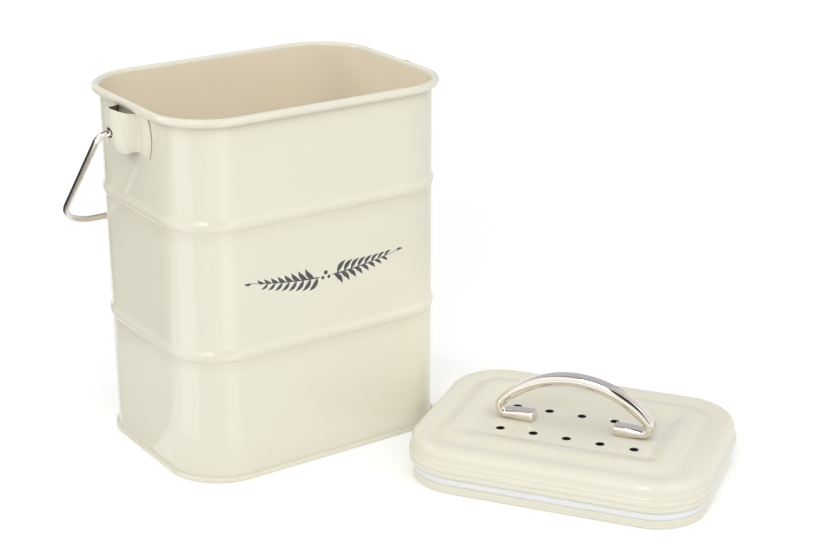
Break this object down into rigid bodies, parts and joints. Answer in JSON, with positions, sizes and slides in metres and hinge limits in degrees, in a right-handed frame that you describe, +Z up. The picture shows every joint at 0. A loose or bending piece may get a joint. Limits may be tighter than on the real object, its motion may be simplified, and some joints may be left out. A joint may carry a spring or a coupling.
{
  "type": "compost caddy",
  "caption": "Rounded rectangular enamelled steel compost caddy with a swinging wire bail and a vented lift-off lid with an arched handle, lid beside the body.",
  "frame": {"origin": "centre of the body's foot, on the surface it stands on", "axes": "+Z up, the bail swings about X, the wide front wall faces -Y and the lid stands on that side at the right"},
  "size_m": [0.2943, 0.3057, 0.2054],
  "materials": {
    "cream_enamel": "gloss",
    "bright_chrome": "polished",
    "white_seal": "satin",
    "plain_steel": "satin",
    "carbon_felt": "matte"
  },
  "bodies": {
    "caddy": {"body_wrap": "cream_enamel", "base_pan": "cream_enamel", "ear_left": "cream_enamel", "ear_right": "cream_enamel"},
    "bail": {"bail_handle": "bright_chrome"},
    "lid": {"lid_shell": "cream_enamel", "lid_ring": "cream_enamel", "lid_seal": "white_seal", "lid_handle": "bright_chrome", "filter_holder": "plain_steel", "carbon_filter": "carbon_felt", "handle_screws": "plain_steel", "screw_washers": "plain_steel"}
  },
  "joints": [
    {"name": "bail_swing", "type": "hinge", "parent": "caddy", "child": "bail", "pos_m": [0, 0, 0.1892], "axis": [1, 0, 0], "range_deg": [0, 274]},
    {"name": "lid_lift", "type": "slide", "parent": "caddy", "child": "lid", "axis": [0, 0, 1], "range_m": [0, 0.08]}
  ]
}
